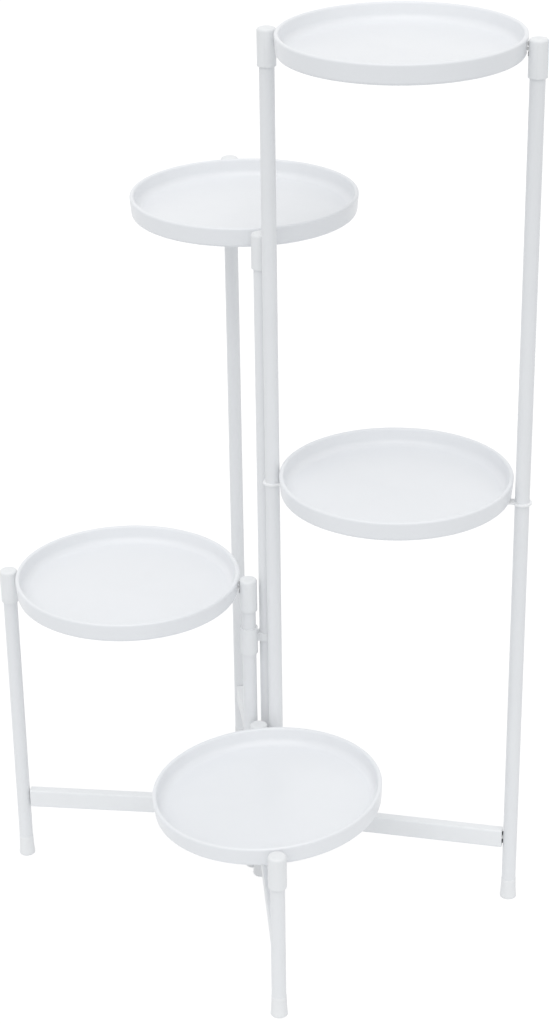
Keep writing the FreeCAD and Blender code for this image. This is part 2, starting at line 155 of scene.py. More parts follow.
@dataclass
class Tree:
    """A shader or geometry node tree and the one way to add nodes to it."""

    tree: bpy.types.NodeTree

    def node(
        self,
        kind: str,
        settings: dict[str, Any] | None = None,
        inputs: dict[str | int, Any] | None = None,
        output: str | int = 0,
    ) -> Term:
        """Adds a node.

        Args:
            kind: the node's type.
            settings: its properties, set first.
            inputs: a value or a Term for each socket, by name or by number.
            output: the socket to return, by name or by number.

        Returns:
            The chosen output.
        """
        made = self.tree.nodes.new(kind)
        for name, value in (settings or {}).items():
            setattr(made, name, value)
        for name, value in (inputs or {}).items():
            socket = self.find(made.inputs, name)
            if isinstance(value, Term):
                self.tree.links.new(value.socket, socket)
            else:
                socket.default_value = value
        return Term(self, self.find(made.outputs, output) if made.outputs else None)

    @staticmethod
    def find(sockets: bpy.types.bpy_prop_collection, name: str | int) -> bpy.types.NodeSocket:
        """Finds a socket of a node.

        Args:
            sockets: the node's inputs or outputs.
            name: the socket's number, or its name among the sockets in use.

        Returns:
            The socket.
        """
        if isinstance(name, int):
            return sockets[name]
        return next(s for s in sockets if s.name == name and s.enabled)

    def mix(self, factor: Term | float, first: Colour, second: Colour) -> Term:
        """A colour that runs from first to second as factor runs from 0 to 1."""
        inputs = {0: factor, 6: (*first, 1.0), 7: (*second, 1.0)}
        return self.node("ShaderNodeMix", {"data_type": "RGBA"}, inputs, output=2)

    def noise(self, where: Term, scale: float, detail: float = 2.0, roughness: float = 0.5) -> Term:
        """Noise about 0.5 at this scale in marks per metre.

        Args:
            where: the point to read it at.
            scale: its marks per metre.
            detail: how many finer layers it has.
            roughness: how strong the finer layers are.

        Returns:
            The noise.
        """
        settings = {"noise_dimensions": "3D"}
        inputs = {"Vector": where, "Scale": scale, "Detail": detail, "Roughness": roughness}
        return self.node("ShaderNodeTexNoise", settings, inputs)

    def vector(self, **parts: Term | float) -> Term:
        """A vector from its X, Y and Z; one that isn't given is 0."""
        return self.node("ShaderNodeCombineXYZ", {}, parts)

    def length(self, vector: Term) -> Term:
        """The length of a vector."""
        return self.node("ShaderNodeVectorMath", {"operation": "LENGTH"}, {0: vector}, output="Value")


class GeometryTree(Tree):
    """A Geometry Nodes tree whose inputs are named and set on one object."""

    def __init__(self, name: str, sizes: dict[str, str]) -> None:
        """Makes the tree's sockets.

        Args:
            name: the tree's name.
            sizes: the kind of socket for each named input, besides the geometry and the finish.
        """
        super().__init__(bpy.data.node_groups.new(name, "GeometryNodeTree"))
        self.keys: dict[str, str] = {}
        self.tree.interface.new_socket("Geometry", in_out="INPUT", socket_type="NodeSocketGeometry")
        for label, kind in {**sizes, "Finish": "Material"}.items():
            made = self.tree.interface.new_socket(label, in_out="INPUT", socket_type=f"NodeSocket{kind}")
            self.keys[label] = made.identifier
        self.tree.interface.new_socket("Geometry", in_out="OUTPUT", socket_type="NodeSocketGeometry")
        self.start = self.tree.nodes.new("NodeGroupInput")

    def given(self, label: str) -> Term:
        """The named input."""
        return Term(self, self.find(self.start.outputs, label))

    def join(self, *shapes: Term) -> Term:
        """Several shapes as one.

        Args:
            shapes: the shapes, in order.

        Returns:
            The joined shape.
        """
        joined = self.node("GeometryNodeJoinGeometry")
        for shape in shapes:
            self.tree.links.new(shape.socket, joined.socket.node.inputs[0])
        return joined

    def placed(self, shape: Term, **change: Term | tuple[float, float, float]) -> Term:
        """The shape with a Translation, Rotation or Scale."""
        return self.node("GeometryNodeTransform", {}, {"Geometry": shape, **change})

    def rod(self, line: Term, radius: Term, sides: int) -> Term:
        """A closed rod along a curve.

        Args:
            line: the curve.
            radius: the rod's radius.
            sides: how many sides the rod has.

        Returns:
            The rod.
        """
        ring = self.node("GeometryNodeCurvePrimitiveCircle", {}, {"Resolution": sides, "Radius": radius})
        inputs = {"Curve": line, "Profile Curve": ring, "Fill Caps": True}
        return self.node("GeometryNodeCurveToMesh", {}, inputs)

    def copies(self, points: Term, shape: Term) -> Term:
        """The shape on each of the points."""
        return self.node("GeometryNodeInstanceOnPoints", {}, {"Points": points, "Instance": shape})

    def end(self, shape: Term) -> None:
        """Realizes the instances, sets the finish and links the result to the tree's output.

        Args:
            shape: the shape that the tree has made.
        """
        real = self.node("GeometryNodeRealizeInstances", {}, {"Geometry": shape})
        inputs = {"Geometry": real, "Material": self.given("Finish")}
        done = self.node("GeometryNodeSetMaterial", {}, inputs)
        out = self.tree.nodes.new("NodeGroupOutput")
        self.tree.links.new(done.socket, out.inputs[0])

    def make(self, name: str, base: bpy.types.Mesh, values: dict[str, Any]) -> bpy.types.Object:
        """Runs the tree on a base mesh and keeps the result as a plain mesh.

        Args:
            name: the new piece's name.
            base: the mesh that the tree starts from.
            values: a value for each named input.

        Returns:
            A plain object at the origin.
        """
        maker = bpy.data.objects.new(f"{name}_maker", base)
        bpy.context.scene.collection.objects.link(maker)
        modifier = maker.modifiers.new("shape", "NODES")
        modifier.node_group = self.tree
        for label, value in values.items():
            modifier[self.keys[label]] = value
        ready = maker.evaluated_get(bpy.context.evaluated_depsgraph_get())
        mesh = bpy.data.meshes.new_from_object(ready)
        bpy.data.objects.remove(maker)
        mesh.name = name
        face_outwards(mesh)
        piece = bpy.data.objects.new(name, mesh)
        bpy.context.scene.collection.objects.link(piece)
        return piece


def face_outwards(mesh: bpy.types.Mesh) -> None:
    """Turns the faces of a closed mesh outwards.

    Args:
        mesh: the mesh, which is changed.
    """
    work = bmesh.new()
    work.from_mesh(mesh)
    bmesh.ops.recalc_face_normals(work, faces=work.faces)
    work.to_mesh(mesh)
    work.free()


def chain_mesh(name: str, profile: Profile) -> bpy.types.Mesh:
    """A mesh of edges through (radius, height) points, for the lathe.

    Args:
        name: the mesh's name.
        profile: the points.

    Returns:
        The mesh.
    """
    mesh = bpy.data.meshes.new(name)
    points = [(radius, 0.0, height) for radius, height in profile]
    mesh.from_pydata(points, [(i, i + 1) for i in range(len(points) - 1)], [])
    return mesh


def point_mesh(name: str, spots: list[Vector]) -> bpy.types.Mesh:
    """A mesh of loose points, for the trees that set copies.

    Args:
        name: the mesh's name.
        spots: the points.

    Returns:
        The mesh.
    """
    mesh = bpy.data.meshes.new(name)
    mesh.from_pydata(spots, [], [])
    return mesh


def make_lathe() -> GeometryTree:
    """The tree that turns a profile round its own axis, and puts the result in its place.

    Returns:
        The tree, with Segments, Centre and Turn as inputs.
    """
    tree = GeometryTree("lathe", {"Segments": "Int", "Centre": "Vector", "Turn": "Vector"})
    profile = tree.given("Geometry")
    rows = tree.given("Segments") + 1
    count = tree.node("GeometryNodeAttributeDomainSize", {"component": "MESH"}, {"Geometry": profile})
    grid = tree.node("GeometryNodeMeshGrid", {}, {"Vertices X": count, "Vertices Y": rows})
    index = tree.node("GeometryNodeInputIndex")
    place = tree.node("GeometryNodeInputPosition")
    nudge = 0.0001  # keeps a whole quotient from rounding down
    along = (index / rows + nudge).floor()
    point = tree.node(
        "GeometryNodeSampleIndex",
        {"data_type": "FLOAT_VECTOR", "domain": "POINT"},
        {"Geometry": profile, "Value": place, "Index": along},
    )
    angle = (index % rows) * math.tau / tree.given("Segments")
    radius = tree.node("ShaderNodeSeparateXYZ", {}, {0: point}, output="X")
    height = tree.node("ShaderNodeSeparateXYZ", {}, {0: point}, output="Z")
    spot = tree.vector(X=radius * angle.cosine(), Y=radius * angle.sine(), Z=height)
    turned = tree.node("GeometryNodeSetPosition", {}, {"Geometry": grid, "Position": spot})
    kept = tree.node(
        "GeometryNodeStoreNamedAttribute",
        {"data_type": "FLOAT_VECTOR", "domain": "POINT"},
        {"Geometry": turned, "Name": LOCAL, "Value": spot},
    )
    closed = tree.node("GeometryNodeMergeByDistance", {}, {"Geometry": kept, "Distance": MERGE})
    smooth = tree.node("GeometryNodeSetShadeSmooth", {}, {"Geometry": closed})
    tree.end(tree.placed(smooth, Translation=tree.given("Centre"), Rotation=tree.given("Turn")))
    return tree


def make_pads_tree() -> GeometryTree:
    """The tree that sets two flat dark pads, one above and one below the pin, on every point of a mesh:
    painted shade.

    Returns:
        The tree, with the pads' reach, width, thickness and turn as inputs.
    """
    labels = ("Low", "High", "Width", "Thickness", "Turn")
    tree = GeometryTree("pads", dict.fromkeys(labels, "Float"))
    ends = {"Start": tree.vector(Z=tree.given("Low")), "End": tree.vector(Z=tree.given("High"))}
    line = tree.node("GeometryNodeCurvePrimitiveLine", {}, ends)
    upper = tree.rod(line, tree.given("Width") * 0.5, sides=24)
    flat = tree.vector(X=tree.given("Thickness") / tree.given("Width"), Y=1.0, Z=1.0)
    thin = tree.placed(upper, Scale=flat)
    both = tree.join(thin, tree.placed(thin, Rotation=(math.pi, 0.0, 0.0)))
    turned = tree.placed(both, Rotation=tree.vector(Z=tree.given("Turn")))
    tree.end(tree.copies(tree.given("Geometry"), turned))
    return tree


def make_seams_tree() -> GeometryTree:
    """The tree that stands a fine round rod, half sunk in the wall, on every point of a mesh.

    Returns:
        The tree, with Length and Radius as inputs.
    """
    tree = GeometryTree("seams", {"Length": "Float", "Radius": "Float"})
    tip = tree.vector(Z=tree.given("Length"))
    line = tree.node("GeometryNodeCurvePrimitiveLine", {}, {"End": tip})
    ridge = tree.rod(line, tree.given("Radius"), sides=8)
    tree.end(tree.copies(tree.given("Geometry"), ridge))
    return tree


def make_screws_tree() -> GeometryTree:
    """The tree that cuts a cross into a screw head and sets one at each end of a line.

    Returns:
        The tree, with the cross's sizes and the line's reach, turn and centre as inputs.
    """
    sizes = dict.fromkeys(("Slot", "Depth", "Reach", "Turn"), "Float")
    tree = GeometryTree("screws", {**sizes, "Centre": "Vector"})
    slot, reach = tree.given("Slot"), tree.given("Reach")
    long = slot * CROSS_SPAN
    deep = tree.given("Depth") * 2.0  # half of each cutter stands clear of the head
    head = tree.given("Geometry")
    for size in (tree.vector(X=long, Y=slot, Z=deep), tree.vector(X=slot, Y=long, Z=deep)):
        cutter = tree.node("GeometryNodeMeshCube", {}, {"Size": size})
        inputs = {"Mesh 1": head, "Mesh 2": cutter}
        head = tree.node("GeometryNodeMeshBoolean", {"operation": "DIFFERENCE"}, inputs)
    ends = {"Start Location": tree.vector(X=reach * -1.0), "Offset": tree.vector(X=reach)}
    row = tree.node("GeometryNodeMeshLine", {"mode": "END_POINTS"}, {"Count": 2, **ends})
    turn = tree.vector(Z=tree.given("Turn"))
    tree.end(tree.placed(tree.copies(row, head), Translation=tree.given("Centre"), Rotation=turn))
    return tree


# ---------------------------------------------------------------- finishes


class Slot(Enum):
    """The record's material slots named for new pieces; settle is given one but does not use it."""

    TRAY = "tray"
    FITTING = "fitting"
    SCREW = "screw"


class Marks(Enum):
    """The fine marks that a finish carries."""

    PEEL = "orange peel of powder coat"
    GRAIN = "fine grain of a matt mould"
    DRAWN = "faint lines along the piece"
    TURNED = "faint rings round the piece's own axis"


@dataclass(frozen=True)
class Blotch:
    """Noise that shifts a finish between its two colours: its marks per metre and its share of the shift."""

    scale: float
    detail: float
    roughness: float
    low: float
    high: float
    share: float

    def mask(self, tree: Tree, where: Term) -> Term:
        """The noise as a mask from 0 to 1."""
        return tree.noise(where, self.scale, self.detail, self.roughness).smooth(self.low, self.high)


CLOUD = Blotch(scale=7.0, detail=3.0, roughness=0.55, low=0.3, high=0.7, share=0.55)
SMUDGE = Blotch(scale=38.0, detail=4.0, roughness=0.6, low=0.35, high=0.75, share=0.25)
SPECK = Blotch(scale=900.0, detail=1.0, roughness=0.5, low=0.45, high=0.75, share=0.2)


@dataclass(frozen=True)
class Finish:
    """A finish of one material.

    Lengths are metres: grain is the width of the fine marks and depth how deep they are. The shares say
    how much of a mark's height its second pattern gives.
    """

    name: str
    colour: Colour
    dull: Colour
    roughness: float
    drift: float
    marks: Marks
    grain: float
    depth: float
    coat: float = 0.0
    metallic: float = 0.0
    heading: float = 0.0
    coat_roughness: float = 0.18
    refraction: float = 1.47
    drawn_stretch: float = 0.03
    drawn_share: float = 0.6
    ring_pitch: float = 3.0
    ring_share: float = 0.06
    grain_ratio: float = 3.0
    grain_share: float = 0.4

    def place(self, tree: Tree) -> Term:
        """Where the surface point is: on its own piece for turned marks, and in the stand for the others.

        Args:
            tree: the material's tree.

        Returns:
            The point.
        """
        if self.marks is Marks.TURNED:
            return tree.node("ShaderNodeAttribute", {"attribute_name": LOCAL}, output="Vector")
        return tree.node("ShaderNodeTexCoord", output="Object")

    def relief(self, tree: Tree, where: Term) -> Term:
        """The height of the fine marks, about 0 to 1.

        Args:
            tree: the material's tree.
            where: the surface point.

        Returns:
            The height.
        """
        fine = tree.noise(where, 1.0 / self.grain)
        if self.marks is Marks.DRAWN:
            along = {"Rotation": (0.0, 0.0, -self.heading), "Scale": (self.drawn_stretch, 1.0, 1.0)}
            turned = tree.node("ShaderNodeMapping", {}, {"Vector": where, **along})
            lines = tree.noise(turned, 1.0 / self.grain, detail=3.0)
            return fine * (1.0 - self.drawn_share) + lines * self.drawn_share
        if self.marks is Marks.TURNED:
            inputs = {0: where, 1: (1.0, 1.0, 0.0)}
            flat = tree.node("ShaderNodeVectorMath", {"operation": "MULTIPLY"}, inputs)
            rings = (tree.length(flat) * (math.tau / (self.grain * self.ring_pitch))).sine()
            return fine + rings * self.ring_share
        if self.marks is Marks.GRAIN:
            finer = tree.noise(where, self.grain_ratio / self.grain, detail=1.0)
            return fine * (1.0 - self.grain_share) + finer * self.grain_share
        return fine

    def material(self) -> bpy.types.Material:
        """The finish as a material.

        Returns:
            The material, named as the finish is.
        """
        made = bpy.data.materials.new(self.name)
        made.use_nodes = True
        made.node_tree.nodes.clear()
        tree = Tree(made.node_tree)
        where = self.place(tree)
        cloud, smudge, speck = (blotch.mask(tree, where) for blotch in (CLOUD, SMUDGE, SPECK))
        shift = cloud * CLOUD.share + smudge * SMUDGE.share + speck * SPECK.share
        rough = self.roughness + (cloud - 0.5) * self.drift + (smudge - 0.5) * self.drift
        relief = {"Strength": 1.0, "Distance": self.depth, "Height": self.relief(tree, where)}
        shader = tree.node(
            "ShaderNodeBsdfPrincipled",
            {},
            {
                "Base Color": tree.mix(shift, self.colour, self.dull),
                "Roughness": rough,
                "Normal": tree.node("ShaderNodeBump", {}, relief, output="Normal"),
                "Metallic": self.metallic,
                "Coat Weight": self.coat,
                "Coat Roughness": self.coat_roughness,
                "IOR": self.refraction,
            },
        )
        tree.node("ShaderNodeOutputMaterial", {}, {"Surface": shader})
        return made


TRAY_FINISH = Finish(
    "tray_semi_gloss",
    colour=(0.880, 0.892, 0.912),
    dull=(0.862, 0.874, 0.893),
    roughness=0.34,
    drift=0.06,
    marks=Marks.TURNED,
    grain=0.9 * MM,
    depth=0.012 * MM,
    coat=0.12,
)
TUBE_FINISH = Finish(
    "powder_coat",
    colour=(0.862, 0.872, 0.885),
    dull=(0.840, 0.850, 0.862),
    roughness=0.42,
    drift=0.06,
    marks=Marks.PEEL,
    grain=1.6 * MM,
    depth=0.03 * MM,
)
# Lighter than the tubes' coat: a painted highlight for the brightly lit edge of the strap's ring.
STRAP_FINISH = replace(
    TUBE_FINISH,
    name="strap_coat_painted_highlight",
    colour=(0.950, 0.955, 0.960),
    dull=(0.930, 0.935, 0.940),
    roughness=0.40,
    drift=0.05,
    grain=1.4 * MM,
    depth=0.02 * MM,
)
FITTING_FINISH = Finish(
    "moulded_fitting",
    colour=(0.880, 0.890, 0.898),
    dull=(0.860, 0.870, 0.878),
    roughness=0.46,
    drift=0.05,
    marks=Marks.GRAIN,
    grain=0.7 * MM,
    depth=0.015 * MM,
)
FOOT_FINISH = replace(
    FITTING_FINISH,
    name="foot_vinyl",
    colour=(0.874, 0.880, 0.886),
    dull=(0.854, 0.860, 0.866),
    roughness=0.50,
    drift=0.06,
    grain=0.8 * MM,
    depth=0.02 * MM,
)
# Near-black pads: painted shade, set where the gaps at the crossbar and tray pins fall into shadow.
SHADE_PAD_FINISH = replace(
    FITTING_FINISH,
    name="painted_shade_pad",
    colour=(0.060, 0.060, 0.062),
    dull=(0.045, 0.045, 0.047),
    roughness=0.70,
    drift=0.08,
    grain=0.4 * MM,
    depth=0.01 * MM,
)
PIN_FINISH = replace(
    FITTING_FINISH,
    name="pin_nylon",
    colour=(0.87, 0.87, 0.86),
    dull=(0.80, 0.80, 0.79),
    roughness=0.38,
    drift=0.06,
    grain=0.4 * MM,
    depth=0.01 * MM,
)
SCREW_FINISH = replace(
    FITTING_FINISH,
    name="screw_steel",
    colour=(0.66, 0.66, 0.65),
    dull=(0.52, 0.52, 0.51),
    roughness=0.33,
    drift=0.12,
    grain=0.3 * MM,
    depth=0.008 * MM,
    metallic=1.0,
)
CROSSBAR_FINISH = Finish(
    "crossbar_satin",
    colour=(0.898, 0.908, 0.918),
    dull=(0.875, 0.885, 0.895),
    roughness=0.45,
    drift=0.06,
    marks=Marks.DRAWN,
    grain=1.1 * MM,
    depth=0.02 * MM,
)


# ---------------------------------------------------------------- turned pieces


TUBE_RADIUS = 8.0 * MM
BORE = 8.02 * MM  # of a cap or a foot, on its tube
CAP_RADIUS = 10.0 * MM
RIM_ABOVE_PIN = 12.5 * MM
NEAR_END = 0.03  # share of a straight run, for its points beside the ends


def arc(centre: Point, radius: float, start: float, end: float, steps: int = 6) -> Profile:
    """Points on an arc from one angle to another, in degrees from the outward direction."""
    angles = [math.radians(start + (end - start) * i / steps) for i in range(steps + 1)]
    return [(centre[0] + radius * math.cos(a), centre[1] + radius * math.sin(a)) for a in angles]


def run(start: Point, end: Point, steps: int) -> Profile:
    """Points on a straight run, close together near its ends so that smooth shading stays flat between."""
    places = [0.0, NEAR_END, *(i / steps for i in range(1, steps)), 1.0 - NEAR_END, 1.0]
    return [(start[0] + (end[0] - start[0]) * t, start[1] + (end[1] - start[1]) * t) for t in places]


@dataclass
class Turned:
    """A piece turned round its own axis that takes the place of the CAD node with its name."""

    slot: ClassVar[Slot] = Slot.FITTING

    name: str
    body: str
    centre: Vector
    turn: Vector = field(default_factory=Vector)
    segments: int = 64

    def profile(self) -> Profile:
        """The section as (radius, height) points from the centre."""
        raise NotImplementedError

    def build(self, lathe: GeometryTree, finish: bpy.types.Material) -> bpy.types.Object:
        """Turns the piece and puts it in its place.

        Args:
            lathe: the tree that turns a profile.
            finish: the piece's material.

        Returns:
            The finished piece.
        """
        values = {"Segments": self.segments, "Centre": self.centre, "Turn": self.turn, "Finish": finish}
        piece = lathe.make(f"{self.name}_turned", chain_mesh(self.name, self.profile()), values)
        return settle(piece, self.body, self.slot, self.name)


@dataclass
class Tray(Turned):
    """A round tray with a rounded rim and a coved wall; heights count from its pin axis."""

    slot: ClassVar[Slot] = Slot.TRAY

    radius: float = 127.45 * MM
    height: float = 22.0 * MM
    draft: float = 1.5 * MM
    wall: float = 4.0 * MM
    floor: float = 2.5 * MM
    rim_width: float = 4.8 * MM
    rim_rounding: float = 2.2 * MM
    cove: float = 9.0 * MM
    edge: float = 3.5 * MM
    segments: int = 160

    def profile(self) -> Profile:
        """The section from the middle of the floor, over the rim, to the middle of the underside.

        Returns:
            The section's points.
        """
        top = RIM_ABOVE_PIN
        bottom = top - self.height
        floor = bottom + self.floor
        inner_top = self.radius - self.rim_width
        inner_low = self.radius - self.draft - self.wall
        hub = (inner_low - self.cove, floor + self.cove)
        rim_in = (inner_top + self.rim_rounding, top - self.rim_rounding)
        rim_out = (self.radius - self.rim_rounding, top - self.rim_rounding)
        low = (self.radius - self.draft - self.edge, bottom + self.edge)
        points = run((0.0, floor), (hub[0], floor), steps=6)
        points += arc(hub, self.cove, -90.0, 0.0, steps=12)
        points += run(points[-1], (inner_top, rim_in[1]), steps=2)[1:]
        points += arc(rim_in, self.rim_rounding, 180.0, 90.0)[1:]
        points += arc(rim_out, self.rim_rounding, 90.0, 0.0)
        points += run(points[-1], (self.radius - self.draft, low[1]), steps=3)[1:]
        points += arc(low, self.edge, 0.0, -90.0)[1:]
        points += run(points[-1], (0.0, bottom), steps=6)[1:]
        return points


@dataclass
class LegCap(Turned):
    """A leg's cap: an open sleeve with a rounded top and the mark of its mould gate."""

    length: float = 39.5 * MM
    top: float = 4.0 * MM
    rounding: float = 3.0 * MM
    lead: float = 0.4 * MM
    lead_bulge: Point = (0.1, 0.3)
    gate: float = 0.9 * MM
    gate_bottom: float = 0.7
    gate_depth: float = 0.25

    def profile(self) -> Profile:
        """The section from the middle of the bore's end, round the mouth, to the middle of the top.

        Returns:
            The section's points.
        """
        ceiling = self.length - self.top
        pit = self.length - self.gate_depth * self.gate
        shoulder = (CAP_RADIUS - self.rounding, self.length - self.rounding)
        bulge = (CAP_RADIUS - self.lead_bulge[0] * self.lead, self.lead_bulge[1] * self.lead)
        points = run((0.0, ceiling), (BORE, ceiling), steps=1)
        points += run((BORE, ceiling), (BORE, 0.0), steps=2)[1:]
        points += [(CAP_RADIUS - self.lead, 0.0), bulge]
        points += run((CAP_RADIUS, self.lead), (CAP_RADIUS, shoulder[1]), steps=2)
        points += arc(shoulder, self.rounding, 0.0, 90.0, steps=8)[1:]
        points += run(points[-1], (self.gate, self.length), steps=2)[1:]
        points += [(self.gate_bottom * self.gate, pit), (0.0, pit)]
        return points


@dataclass
class Foot(Turned):
    """A leg's foot: a sleeve that flares to the floor, with a rounded edge and a hollow sole."""

    neck: float = 8.35 * MM
    spread: float = 9.7 * MM
    height: float = 25.0 * MM
    rounding: float = 1.5 * MM
    sole: float = 3.0 * MM
    lip: float = 0.15 * MM
    hollow_mouth: float = 5.5 * MM
    hollow_roof: float = 5.0 * MM
    hollow_depth: float = 0.6 * MM
    segments: int = 56

    def flare(self, height: float) -> float:
        """The outside radius at a height above the floor."""
        return self.neck + (self.spread - self.neck) * (1.0 - height / self.height) ** 2

    def profile(self) -> Profile:
        """The section from the middle of the bore's end, over the mouth, to the middle of the sole.

        Returns:
            The section's points.
        """
        steps = 10
        lift = self.rounding
        side = [lift + (self.height - self.lip - lift) * i / steps for i in range(steps, -1, -1)]
        points = run((0.0, self.sole), (BORE, self.sole), steps=1)
        points += run((BORE, self.sole), (BORE, self.height), steps=2)[1:]
        points += [(self.neck - self.lip, self.height)]
        points += [(self.flare(z), z) for z in side]
        points += arc((points[-1][0] - lift, lift), lift, 0.0, -90.0)[1:]
        points += [(self.hollow_mouth, 0.0), (self.hollow_roof, self.hollow_depth), (0.0, self.hollow_depth)]
        return points


def settle(piece: bpy.types.Object, body: str, slot: Slot, *stands_for: str) -> bpy.types.Object:
    """Joins a finished piece to the stand.

    Args:
        piece: the finished piece, at the origin.
        body: the CAD body that it moves with.
        slot: not used.
        stands_for: the CAD nodes that it takes the place of.

    Returns:
        The piece.
    """
    if stands_for:
        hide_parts(*stands_for)
    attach(piece, body)
    log.info("%s: %d faces on %s", piece.name, len(piece.data.polygons), body)
    return piece


# ---------------------------------------------------------------- sub-assemblies


def coat(node: bpy.types.Object, finish: bpy.types.Material) -> None:
    """Gives every slot of a CAD node's object this finish."""
    for spot in node.material_slots:
        spot.material = finish


@dataclass
class LegFrame:
    """An H-shaped frame: two legs with caps and feet, a crossbar, and the tray that hangs between them."""

    name: str
    tray: str
    tilt: float = 0.0
    seam_radius: float = 0.18 * MM
    seam_length: float = 35.0 * MM
    rim_above_cap: float = 1.5 * MM
    # The pads are near-black painted shade in the gaps beside the pins.
    pad_low: float = 3.2 * MM
    pad_high: float = 7.2 * MM
    pad_width: float = 2.6 * MM
    bar_pad_thickness: float = 1.3 * MM
    tray_pad_thickness: float = 0.5 * MM
    bar_gap: float = 1.2 * MM

    @property
    def body(self) -> str:
        """The CAD body of the legs."""
        return f"{self.name}_frame"

    def spot(self, side: str) -> Vector:
        """The middle of one leg's cap, seen from above, at the height of the cap's mouth."""
        low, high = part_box(f"{self.name}_{side}_cap")
        return Vector(((low.x + high.x) / 2, (low.y + high.y) / 2, low.z))

    @property
    def heading(self) -> float:
        """The direction from the bundle leg to the outer leg."""
        across = self.spot("outer") - self.spot("inner")
        return math.atan2(across.y, across.x)

    def centre(self) -> Vector:
        """The middle of the tray's pin axis.

        Returns:
            The point, in the frame of the stand.
        """
        middle = (self.spot("inner") + self.spot("outer")) / 2
        middle.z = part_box(f"{self.name}_inner_cap")[1].z + self.rim_above_cap - RIM_ABOVE_PIN
        return middle

    def seams(self, shop: "Workshop") -> bpy.types.Object:
        """The mould's parting lines on both sides of both caps.

        Args:
            shop: the trees and finishes.

        Returns:
            The lines, as one piece.
        """
        side = Vector((-math.sin(self.heading), math.cos(self.heading), 0.0)) * CAP_RADIUS
        spots = [self.spot(leg) + side * turn for leg in ("inner", "outer") for turn in (1.0, -1.0)]
        values = {"Length": self.seam_length, "Radius": self.seam_radius, "Finish": shop.fitting}
        base = point_mesh(f"{self.name}_seam_spots", spots)
        return settle(shop.seams.make(f"{self.name}_cap_seams", base, values), self.body, Slot.FITTING)

    def pads(
        self, shop: "Workshop", kind: str, height: float, reach: float, thickness: float
    ) -> bpy.types.Object:
        """The dark pads beside both legs, above and below a pin: painted shade for the shadowed gap there.

        Args:
            shop: the trees and finishes.
            kind: what the pin carries, for the piece's name.
            height: the pin's height above the floor.
            reach: from the leg's axis to the middle of a pad.
            thickness: the pads' thickness along the pin.

        Returns:
            The pads.
        """
        inner, outer = self.spot("inner"), self.spot("outer")
        step = (outer - inner).normalized() * reach
        spots = [Vector((spot.x, spot.y, height)) for spot in (inner + step, outer - step)]
        values = {
            "Low": self.pad_low,
            "High": self.pad_high,
            "Width": self.pad_width,
            "Thickness": thickness,
            "Turn": self.heading,
            "Finish": shop.pad,
        }
        base = point_mesh(f"{self.name}_{kind}_pad_spots", spots)
        return settle(shop.pads.make(f"{self.name}_{kind}_pads", base, values), self.body, Slot.FITTING)

    def build(self, shop: "Workshop") -> None:
        """Makes the turned pieces, the parting lines and the painted-shade pads of the frame.

        Args:
            shop: the trees and finishes.
        """
        for side in ("inner", "outer"):
            spot = self.spot(side)
            on_floor = Vector((spot.x, spot.y, 0.0))
            LegCap(f"{self.name}_{side}_cap", self.body, spot).build(shop.lathe, shop.fitting)
            Foot(f"{self.name}_{side}_foot", self.body, on_floor).build(shop.lathe, shop.foot)
        self.seams(shop)
        low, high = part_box(f"{self.name}_crossbar")
        reach = TUBE_RADIUS + self.bar_gap / 2
        self.pads(shop, "crossbar", (low.z + high.z) / 2, reach, self.bar_pad_thickness)
        reach = CAP_RADIUS + self.tray_pad_thickness / 2
        self.pads(shop, "tray", self.centre().z, reach, self.tray_pad_thickness)
        turn = Vector((self.tilt, 0.0, self.heading))
        Tray(self.tray, self.tray, self.centre(), turn).build(shop.lathe, shop.tray)

    def dress(self, shop: "Workshop") -> None:
        """Gives the crossbar its finish, with faint lines along the bar."""
        finish = replace(CROSSBAR_FINISH, name=f"{self.name}_crossbar_satin", heading=self.heading)
        coat(shop.nodes[f"{self.name}_crossbar"], finish.material())


@dataclass
class MiddleTray:
    """The fixed tray of the right frame on its strap, with the two screws that hold it."""

    frame: LegFrame
    head_radius: float = 3.0 * MM
    head_height: float = 1.2 * MM
    head_segments: int = 32
    head_dome: tuple[Point, ...] = ((1.0, 0.0), (1.0, 0.25), (0.9, 0.6), (0.7, 0.85), (0.4, 0.97), (0.0, 1.0))
    screw_reach: float = 116.6 * MM
    cross_width: float = 0.7 * MM
    cross_depth: float = 0.7 * MM

    def head_profile(self) -> Profile:
        """The section of a low domed head that faces down."""
        dome = [(out * self.head_radius, -down * self.head_height) for out, down in self.head_dome]
        return [(0.0, 0.0), *dome]

    def screws(self, shop: "Workshop") -> bpy.types.Object:
        """The screw heads under the strap.

        Args:
            shop: the trees and finishes.

        Returns:
            The heads, as one piece.
        """
        middle = self.frame.centre()
        section = chain_mesh("screw_head_section", self.head_profile())
        lift = Vector((0.0, 0.0, self.head_height))
        values = {"Segments": self.head_segments, "Centre": lift, "Turn": Vector(), "Finish": shop.screw}
        head = shop.lathe.make("screw_head", section, values)
        values = {
            "Slot": self.cross_width,
            "Depth": self.cross_depth,
            "Reach": self.screw_reach,
            "Turn": self.frame.heading,
            "Centre": Vector((middle.x, middle.y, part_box("middle_tray_screws")[0].z)),
            "Finish": shop.screw,
        }
        piece = shop.screws.make("middle_tray_screw_heads", head.data, values)
        bpy.data.objects.remove(head)
        return settle(piece, self.frame.body, Slot.SCREW)

    def build(self, shop: "Workshop") -> None:
        """Makes the tray and its screw heads.

        Args:
            shop: the trees and finishes.
        """
        middle = self.frame.centre()
        middle.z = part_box("middle_tray")[1].z - RIM_ABOVE_PIN
        turn = Vector((0.0, 0.0, self.frame.heading))
        Tray("middle_tray", self.frame.body, middle, turn).build(shop.lathe, shop.tray)
        self.screws(shop)


